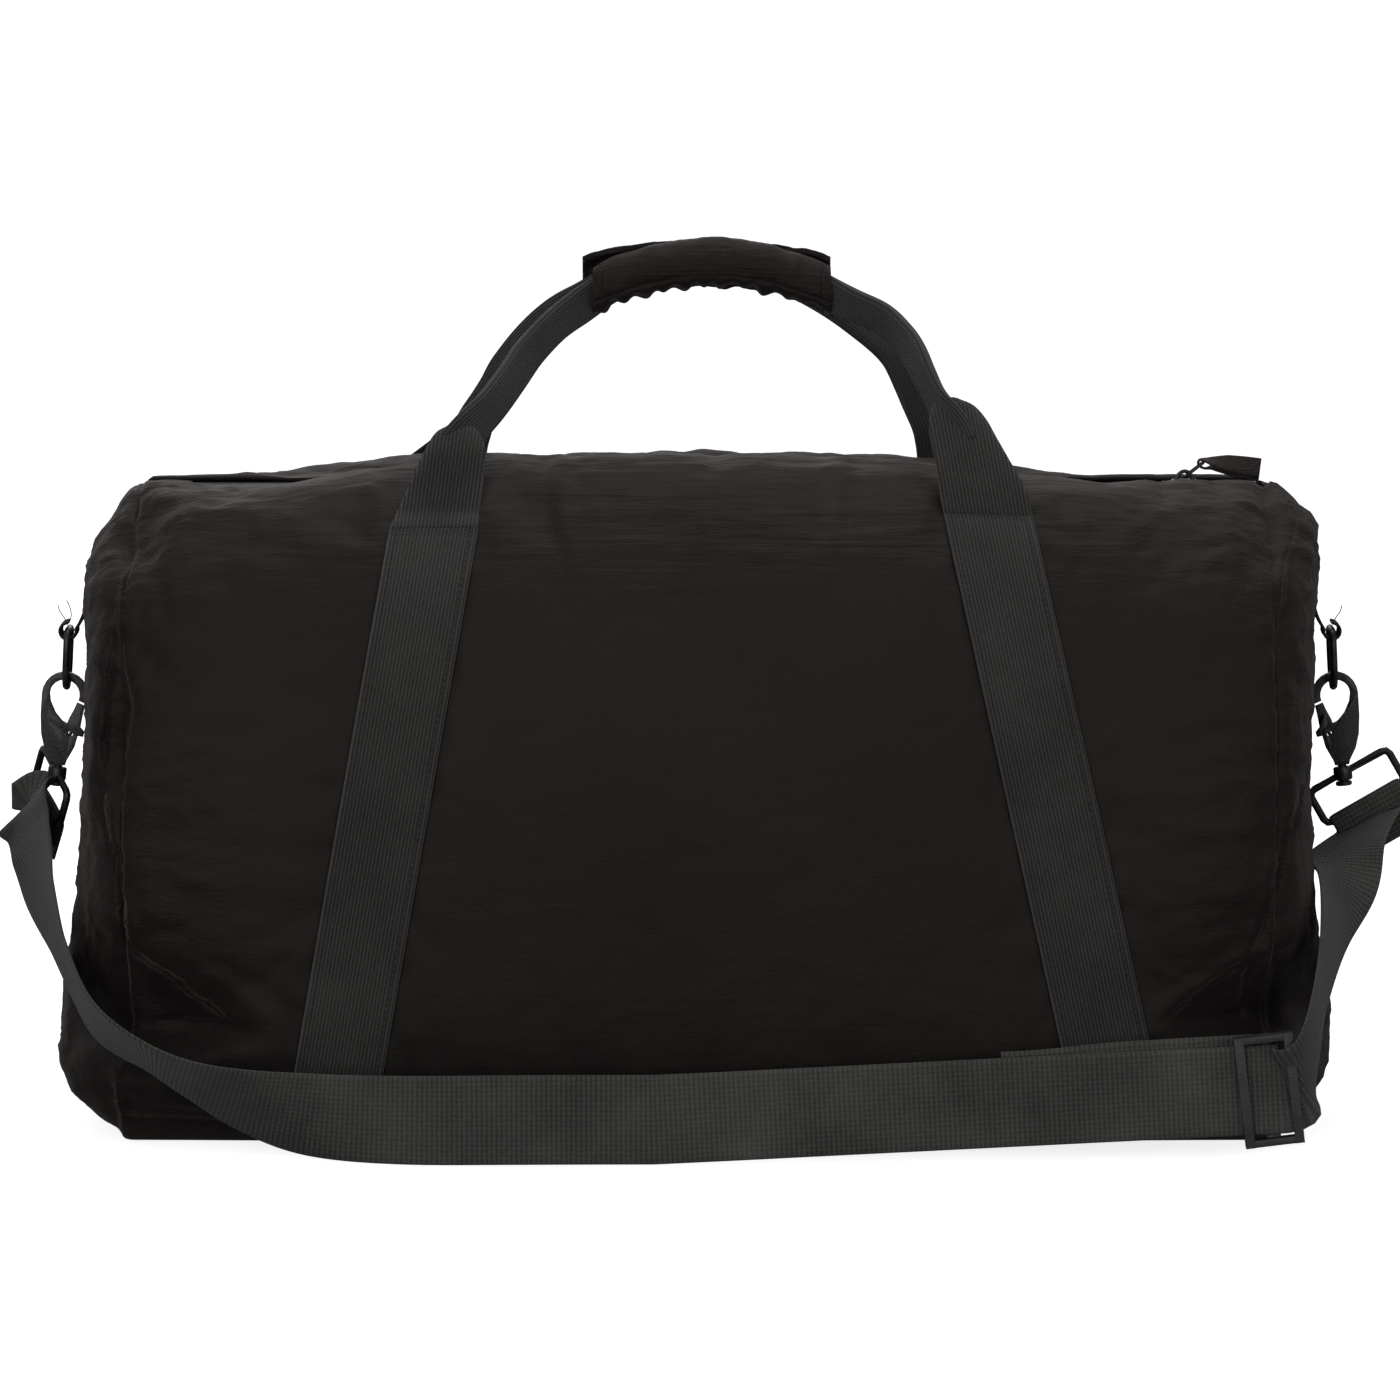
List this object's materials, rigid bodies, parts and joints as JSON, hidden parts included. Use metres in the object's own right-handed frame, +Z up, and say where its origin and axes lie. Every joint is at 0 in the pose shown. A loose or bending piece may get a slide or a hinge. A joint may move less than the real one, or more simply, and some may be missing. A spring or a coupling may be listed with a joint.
{
  "type": "duffel bag",
  "caption": "Barrel duffel bag in crinkled nylon with webbing carry handles joined by a wrap grip, a top zipper and a clip-on adjustable shoulder strap.",
  "frame": {"origin": "centre of the flat base, on the ground", "axes": "+Z up, +X along the bag to its right end, -Y towards the front"},
  "size_m": [0.63, 0.325, 0.3837],
  "materials": {
    "crinkle_nylon": "crinkled nylon with a slight sheen",
    "handle_webbing": "ribbed webbing, matte",
    "strap_webbing": "fine cross-ribbed webbing, matte",
    "tape": "woven tape, matte",
    "lining_fabric": "plain woven lining, matte",
    "hook_and_loop": "hook and loop strip, matte",
    "black_metal": "black coated die-cast metal, satin",
    "steel_pin": "blackened steel",
    "black_plastic": "moulded plastic, satin",
    "coil_plastic": "nylon coil, satin",
    "board": "stiff plastic sheet"
  },
  "bodies": {
    "bag": {"back_panel": "crinkle_nylon", "base_board": "board", "bottom_panel": "crinkle_nylon", "d_ring_tab_left": "handle_webbing", "d_ring_tab_right": "handle_webbing", "end_panel_left": "crinkle_nylon", "end_panel_right": "crinkle_nylon", "front_panel": "crinkle_nylon", "front_strap_left": "handle_webbing", "front_strap_right": "handle_webbing", "lining": "lining_fabric", "rear_strap_left": "handle_webbing", "rear_strap_right": "handle_webbing", "seam_binding_left": "tape", "seam_binding_right": "tape", "zip_coil_front": "coil_plastic", "zip_coil_rear": "coil_plastic", "zip_end_tab_left": "crinkle_nylon", "zip_end_tab_right": "crinkle_nylon", "zip_tape_front": "tape", "zip_tape_rear": "tape"},
    "zip_slider": {"zip_slider": "black_metal"},
    "zip_pull": {"zip_puller": "black_metal", "zip_pull_tab": "tape"},
    "front_handle": {"front_handle": "handle_webbing", "grip_leaf_front": "crinkle_nylon", "grip_hook_strip": "hook_and_loop"},
    "rear_handle": {"rear_handle": "handle_webbing", "grip_leaf_rear": "crinkle_nylon", "grip_loop_strip": "hook_and_loop"},
    "d_ring_left": {"d_ring_left": "black_metal"},
    "d_ring_right": {"d_ring_right": "black_metal"},
    "strap": {"shoulder_strap": "strap_webbing", "swivel_loop_left": "black_metal", "swivel_loop_right": "black_metal"},
    "hook_left": {"snap_hook_left": "black_metal", "gate_pin_left": "steel_pin", "gate_spring_left": "steel_pin"},
    "hook_right": {"snap_hook_right": "black_metal", "gate_pin_right": "steel_pin", "gate_spring_right": "steel_pin"},
    "gate_left": {"hook_gate_left": "black_metal"},
    "gate_right": {"hook_gate_right": "black_metal"},
    "strap_slider": {"strap_slider": "black_plastic"}
  },
  "joints": [
    {"name": "zip_slide", "type": "slide", "parent": "bag", "child": "zip_slider", "axis": [1, 0, 0], "range_m": [-0.42, 0]},
    {"name": "zip_pull_flip", "type": "hinge", "parent": "zip_slider", "child": "zip_pull", "pos_m": [0.2124, 0, 0.279], "axis": [0, 1, 0], "range_deg": [-135, 28]},
    {"name": "front_handle_fold", "type": "hinge", "parent": "bag", "child": "front_handle", "pos_m": [0, -0.10166, 0.27233], "axis": [1, 0, 0], "range_deg": [0, 90]},
    {"name": "rear_handle_fold", "type": "hinge", "parent": "bag", "child": "rear_handle", "pos_m": [0, 0.10166, 0.27233], "axis": [-1, 0, 0], "range_deg": [0, 90]},
    {"name": "d_ring_rock_left", "type": "hinge", "parent": "bag", "child": "d_ring_left", "pos_m": [-0.2765, 0, 0.2115], "axis": [0, 1, 0], "range_deg": [-2, 2]},
    {"name": "d_ring_rock_right", "type": "hinge", "parent": "bag", "child": "d_ring_right", "pos_m": [0.2765, 0, 0.2115], "axis": [0, 1, 0], "range_deg": [-2, 2]},
    {"name": "strap_swing", "type": "hinge", "parent": "bag", "child": "strap", "pos_m": [0, 0, 0.191], "axis": [-1, 0, 0], "range_deg": [0, 105]},
    {"name": "hook_swivel_left", "type": "hinge", "parent": "strap", "child": "hook_left", "pos_m": [-0.2777, 0, 0.191], "axis": [0.1045, 0, 0.9945], "range_deg": [-20, 20]},
    {"name": "hook_swivel_right", "type": "hinge", "parent": "strap", "child": "hook_right", "pos_m": [0.2777, 0, 0.191], "axis": [-0.1045, 0, 0.9945], "range_deg": [-20, 20]},
    {"name": "gate_open_left", "type": "hinge", "parent": "hook_left", "child": "gate_left", "pos_m": [-0.27614, 0, 0.1657], "axis": [0, 1, 0], "range_deg": [-18, 0], "stiffness_Nm_per_rad": 0.02},
    {"name": "gate_open_right", "type": "hinge", "parent": "hook_right", "child": "gate_right", "pos_m": [0.27614, 0, 0.1657], "axis": [0, -1, 0], "range_deg": [-18, 0], "stiffness_Nm_per_rad": 0.02},
    {"name": "strap_slide", "type": "slide", "parent": "strap", "child": "strap_slider", "axis": [0.9988, 0, 0.0499], "range_m": [-0.18, 0]}
  ]
}
